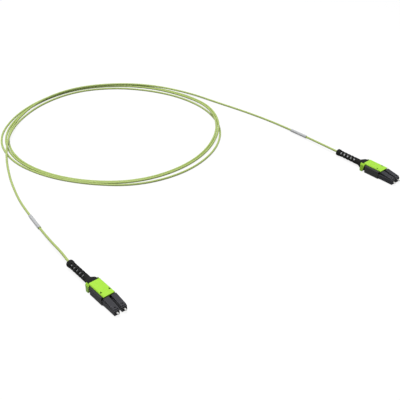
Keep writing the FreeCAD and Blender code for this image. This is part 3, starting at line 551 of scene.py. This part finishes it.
def metal(name, tone, rough, corner):
    """A plated or drawn metal: a slightly darker second tone, corners painted in the lighter tone as a
    highlight, and a fine shallow grain in gloss and relief.
    """
    darker = tuple(0.93 * part for part in tone)
    material = moulded(name, tone, darker, tone, rough, grain=0.05, depth=0.004, corner=corner)
    material.node_tree.nodes["Principled BSDF"].inputs["Metallic"].default_value = 1.0
    return material


# Each finish's edge colour is a painted highlight on its corners, strongest on the plug plastic
FINISHES = {
    "lime_plastic": moulded(
        "lime_satin", dark=(0.37, 0.74, 0.035), light=(0.43, 0.81, 0.06), edge=(0.46, 0.82, 0.1),
        rough=(0.4, 0.52), grain=0.09, depth=0.006, corner=0.14, shine=0.3),
    "black_plastic": moulded(
        "housing_satin", dark=(0.06, 0.061, 0.06), light=(0.073, 0.074, 0.073), edge=(0.11, 0.112, 0.11),
        rough=(0.5, 0.62), grain=0.08, depth=0.008, corner=0.16, shine=0.06),
    "plug_plastic": moulded(
        "plug_satin", dark=(0.048, 0.048, 0.055), light=(0.06, 0.06, 0.068), edge=(0.3, 0.3, 0.32),
        rough=(0.45, 0.58), grain=0.07, depth=0.006, corner=0.2, shine=0.07),
    "boot_plastic": moulded(
        "boot_rubber", dark=(0.016, 0.0165, 0.016), light=(0.021, 0.0217, 0.021), edge=(0.032, 0.0335, 0.032),
        rough=(0.6, 0.75), grain=0.12, depth=0.012, corner=0.15, shine=0.05),
    "cable_jacket": moulded(
        "cable_jacket", dark=(0.4, 0.51, 0.14), light=(0.46, 0.58, 0.17), edge=(0.46, 0.58, 0.17),
        rough=(0.38, 0.5), grain=0.2, depth=0.01, corner=0.02),
    "marker_plastic": moulded(
        "marker_sleeve", dark=(0.47, 0.48, 0.49), light=(0.54, 0.55, 0.56), edge=(0.58, 0.59, 0.6),
        rough=(0.4, 0.5), grain=0.15, depth=0.006, corner=0.04),
    "ceramic": moulded(
        "zirconia", dark=(0.78, 0.78, 0.76), light=(0.84, 0.84, 0.82), edge=(0.86, 0.86, 0.84),
        rough=(0.12, 0.2), grain=0.05, depth=0.002, corner=0.03),
    "fibre_buffer": moulded(
        "fibre_buffer", dark=(0.74, 0.74, 0.7), light=(0.8, 0.8, 0.77), edge=(0.82, 0.82, 0.8),
        rough=(0.4, 0.5), grain=0.1, depth=0.004, corner=0.03),
    "fibre_core": moulded(
        "fibre_core", dark=(0.05, 0.055, 0.06), light=(0.07, 0.075, 0.08), edge=(0.07, 0.075, 0.08),
        rough=(0.08, 0.12), grain=0.05, depth=0.001, corner=0.01),
    "nickel_metal": metal("nickel_plate", tone=(0.66, 0.64, 0.6), rough=(0.22, 0.34), corner=0.05),
    "spring_steel": metal("spring_wire", tone=(0.52, 0.52, 0.53), rough=(0.25, 0.38), corner=0.03),
}

for entry in frame["record"]["subparts"]:
    mesh = nodes[entry["node"]].data
    mesh.materials.clear()
    mesh.materials.append(FINISHES[entry["material_slot"]])


# Cable

CABLE_NODES = [
    "cable_near_lead", "cable_first_turn", "cable_second_turn", "cable_third_turn", "cable_far_lead",
]


def make_cable(route):
    """A round tube on a smooth spline whose control points are the route's points."""
    curve = bpy.data.curves.new("cable", "CURVE")
    curve.dimensions = "3D"
    curve.bevel_depth = CABLE_RADIUS * MM
    curve.bevel_resolution = 4
    curve.resolution_u = 12
    curve.use_fill_caps = True
    spline = curve.splines.new("NURBS")
    spline.points.add(len(route) - 1)
    spline.points.foreach_set("co", np.c_[route, np.ones(len(route))].ravel())
    spline.order_u = 3
    spline.use_endpoint_u = True
    cable = bpy.data.objects.new("cable", curve)
    bpy.context.scene.collection.objects.link(cable)
    curve.materials.append(FINISHES["cable_jacket"])
    return cable


route = cable_route()
cable = make_cable(route)
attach(cable, "cord")
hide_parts(*CABLE_NODES)
line = spline_points(cable.data)
near_marker = make_marker("near", line, (route[4] + route[5]) / 2 / MM)
far_marker = make_marker("far", line, (route[-3] + route[-2]) / 2 / MM)

for end in ENDS:
    make_boot(end)
    make_inner_sleeve(end)
    for side in SIDES:
        make_cover_trim(end, side)
        make_ferrule(end, side)
        make_spring(end, side)


# Floor, light and camera, in metres, watts and degrees

FLOOR_HALF, FLOOR_DROP = 3.0, 0.00005
FLOOR_GREY, FLOOR_PALE, FLOOR_GLOW, GLOW_SHARE = 0.18, 0.9, 1.06, 0.82
SKY_LIGHT = 0.2
LAMP_PLACE, LAMP_TARGET, LAMP_SIDE, LAMP_POWER = (-0.2, -0.15, 1.3), (-0.05, 0.0, 0.0), 1.1, 18.0
CAMERA_PLACE, CAMERA_HEADING, CAMERA_PITCH = (0.3175, -0.32346, 0.3232), 139.4, 33.715
CAMERA_SENSOR, CAMERA_LENS, CAMERA_CLIP = 36.0, 61.05, 0.01


def seen_directly(tree):
    """A socket that is 1 for camera, glossy and transmission rays, and 0 for the light sent back."""
    path = tree.nodes.new("ShaderNodeLightPath")
    seen = add_node(tree, "ShaderNodeMath", operation="MAXIMUM")
    seen_too = add_node(tree, "ShaderNodeMath", operation="MAXIMUM")
    tree.links.new(path.outputs["Is Camera Ray"], seen.inputs[0])
    tree.links.new(path.outputs["Is Glossy Ray"], seen.inputs[1])
    tree.links.new(seen.outputs[0], seen_too.inputs[0])
    tree.links.new(path.outputs["Is Transmission Ray"], seen_too.inputs[1])
    return seen_too.outputs[0]


def make_floor():
    """A wide white floor: pale for the camera and reflections, softly shadowed, and greyer for the light it
    sends back."""
    mesh = bpy.data.meshes.new("floor")
    corners = [(-1, -1), (1, -1), (1, 1), (-1, 1)]
    points = [(x * FLOOR_HALF, y * FLOOR_HALF, -FLOOR_DROP) for x, y in corners]
    mesh.from_pydata(points, [], [(0, 1, 2, 3)])
    floor = bpy.data.objects.new("floor", mesh)
    bpy.context.scene.collection.objects.link(floor)
    material = bpy.data.materials.new("floor_white")
    material.use_nodes = True
    tree = material.node_tree
    tree.nodes.clear()
    link = tree.links.new
    seen = seen_directly(tree)
    share = add_node(tree, "ShaderNodeMath", operation="MULTIPLY")
    share.inputs[1].default_value = GLOW_SHARE
    tint = add_node(tree, "ShaderNodeMix", data_type="RGBA")
    tint.inputs[FIRST_COLOUR].default_value = (FLOOR_GREY, FLOOR_GREY, FLOOR_GREY, 1)
    tint.inputs[SECOND_COLOUR].default_value = (FLOOR_PALE, FLOOR_PALE, FLOOR_PALE, 1)
    matt = tree.nodes.new("ShaderNodeBsdfDiffuse")
    white = add_node(tree, "ShaderNodeEmission", Color=(1, 1, 1, 1), Strength=FLOOR_GLOW)
    mix = tree.nodes.new("ShaderNodeMixShader")
    out = tree.nodes.new("ShaderNodeOutputMaterial")
    link(seen, share.inputs[0])
    link(share.outputs[0], mix.inputs[0])
    link(seen, tint.inputs[0])
    link(tint.outputs[MIXED_COLOUR], matt.inputs["Color"])
    link(matt.outputs[0], mix.inputs[1])
    link(white.outputs[0], mix.inputs[2])
    link(mix.outputs[0], out.inputs["Surface"])
    mesh.materials.append(material)


def make_world():
    """A grey sky for light, seen white by the camera and in reflections."""
    world = bpy.data.worlds.new("studio")
    bpy.context.scene.world = world
    world.use_nodes = True
    tree = world.node_tree
    tree.nodes.clear()
    link = tree.links.new
    dim = add_node(tree, "ShaderNodeBackground", Color=(1, 1, 1, 1), Strength=SKY_LIGHT)
    white = add_node(tree, "ShaderNodeBackground", Color=(1, 1, 1, 1), Strength=1.0)
    mix = tree.nodes.new("ShaderNodeMixShader")
    out = tree.nodes.new("ShaderNodeOutputWorld")
    link(seen_directly(tree), mix.inputs[0])
    link(dim.outputs[0], mix.inputs[1])
    link(white.outputs[0], mix.inputs[2])
    link(mix.outputs[0], out.inputs["Surface"])


def add_softbox(name, place, target, side, power):
    """A square lamp at a place in metres, turned to a target."""
    lamp = bpy.data.lights.new(name, "AREA")
    lamp.size = side
    lamp.energy = power
    softbox = bpy.data.objects.new(name, lamp)
    bpy.context.scene.collection.objects.link(softbox)
    softbox.location = place
    softbox.rotation_euler = (Vector(target) - Vector(place)).to_track_quat("-Z", "Y").to_euler()


def add_camera():
    """The photograph's camera, level from side to side and looking down on the floor."""
    camera_data = bpy.data.cameras.new("photo_camera")
    camera_data.sensor_width = CAMERA_SENSOR
    camera_data.lens = CAMERA_LENS
    camera_data.clip_start = CAMERA_CLIP
    camera = bpy.data.objects.new("photo_camera", camera_data)
    bpy.context.scene.collection.objects.link(camera)
    camera.location = CAMERA_PLACE
    heading, pitch = math.radians(CAMERA_HEADING), math.radians(CAMERA_PITCH)
    camera.rotation_euler = (math.pi / 2 - pitch, 0, heading - math.pi / 2)
    bpy.context.scene.camera = camera


make_floor()
make_world()
add_softbox("overhead_softbox", LAMP_PLACE, LAMP_TARGET, LAMP_SIDE, LAMP_POWER)
add_camera()
bpy.context.scene.view_settings.view_transform = "Standard"
